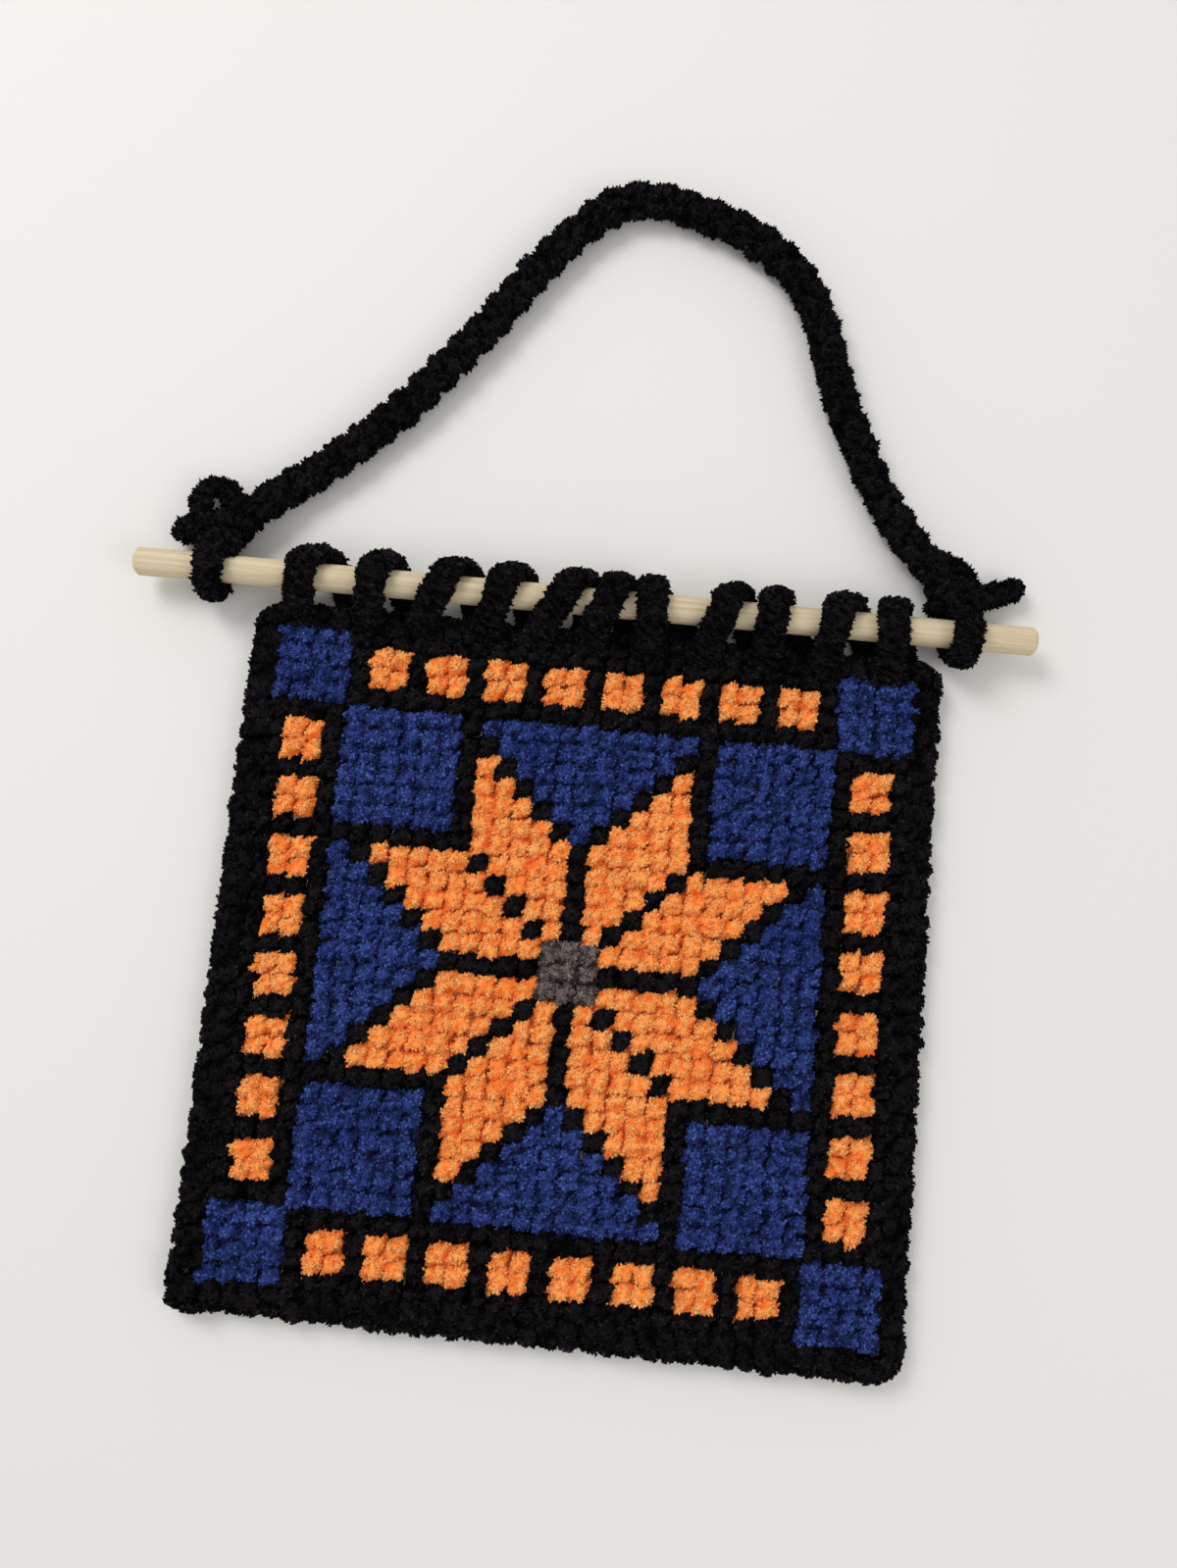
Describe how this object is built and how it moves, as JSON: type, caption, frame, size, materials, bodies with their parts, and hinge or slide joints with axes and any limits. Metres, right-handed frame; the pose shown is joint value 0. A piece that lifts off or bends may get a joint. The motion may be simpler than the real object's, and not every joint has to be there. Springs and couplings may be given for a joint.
{
  "type": "needlepoint wall hanging and dowel",
  "caption": "Square needlepoint panel of chenille yarn with a whipped edge, lashed to a wooden dowel that hangs from a plaited yarn loop.",
  "frame": {"origin": "middle of the panel's flat back, on the surface that it lies on", "axes": "+X along the dowel, +Y from the panel towards the hanger, +Z out of the stitched face"},
  "size_m": [0.3048, 0.3982, 0.0214],
  "materials": {
    "stitching": "chenille yarn in tent stitch, short soft pile",
    "black_yarn": "black chenille yarn, short soft pile",
    "dowel_wood": "bare sanded birch, pale, matt"
  },
  "bodies": {
    "root": {"stitched_panel": "stitching", "whipped_edging": "black_yarn", "dowel": "dowel_wood", "lashing": "black_yarn", "hanger_plait": "black_yarn", "left_knot": "black_yarn", "right_knot": "black_yarn"}
  },
  "joints": []
}
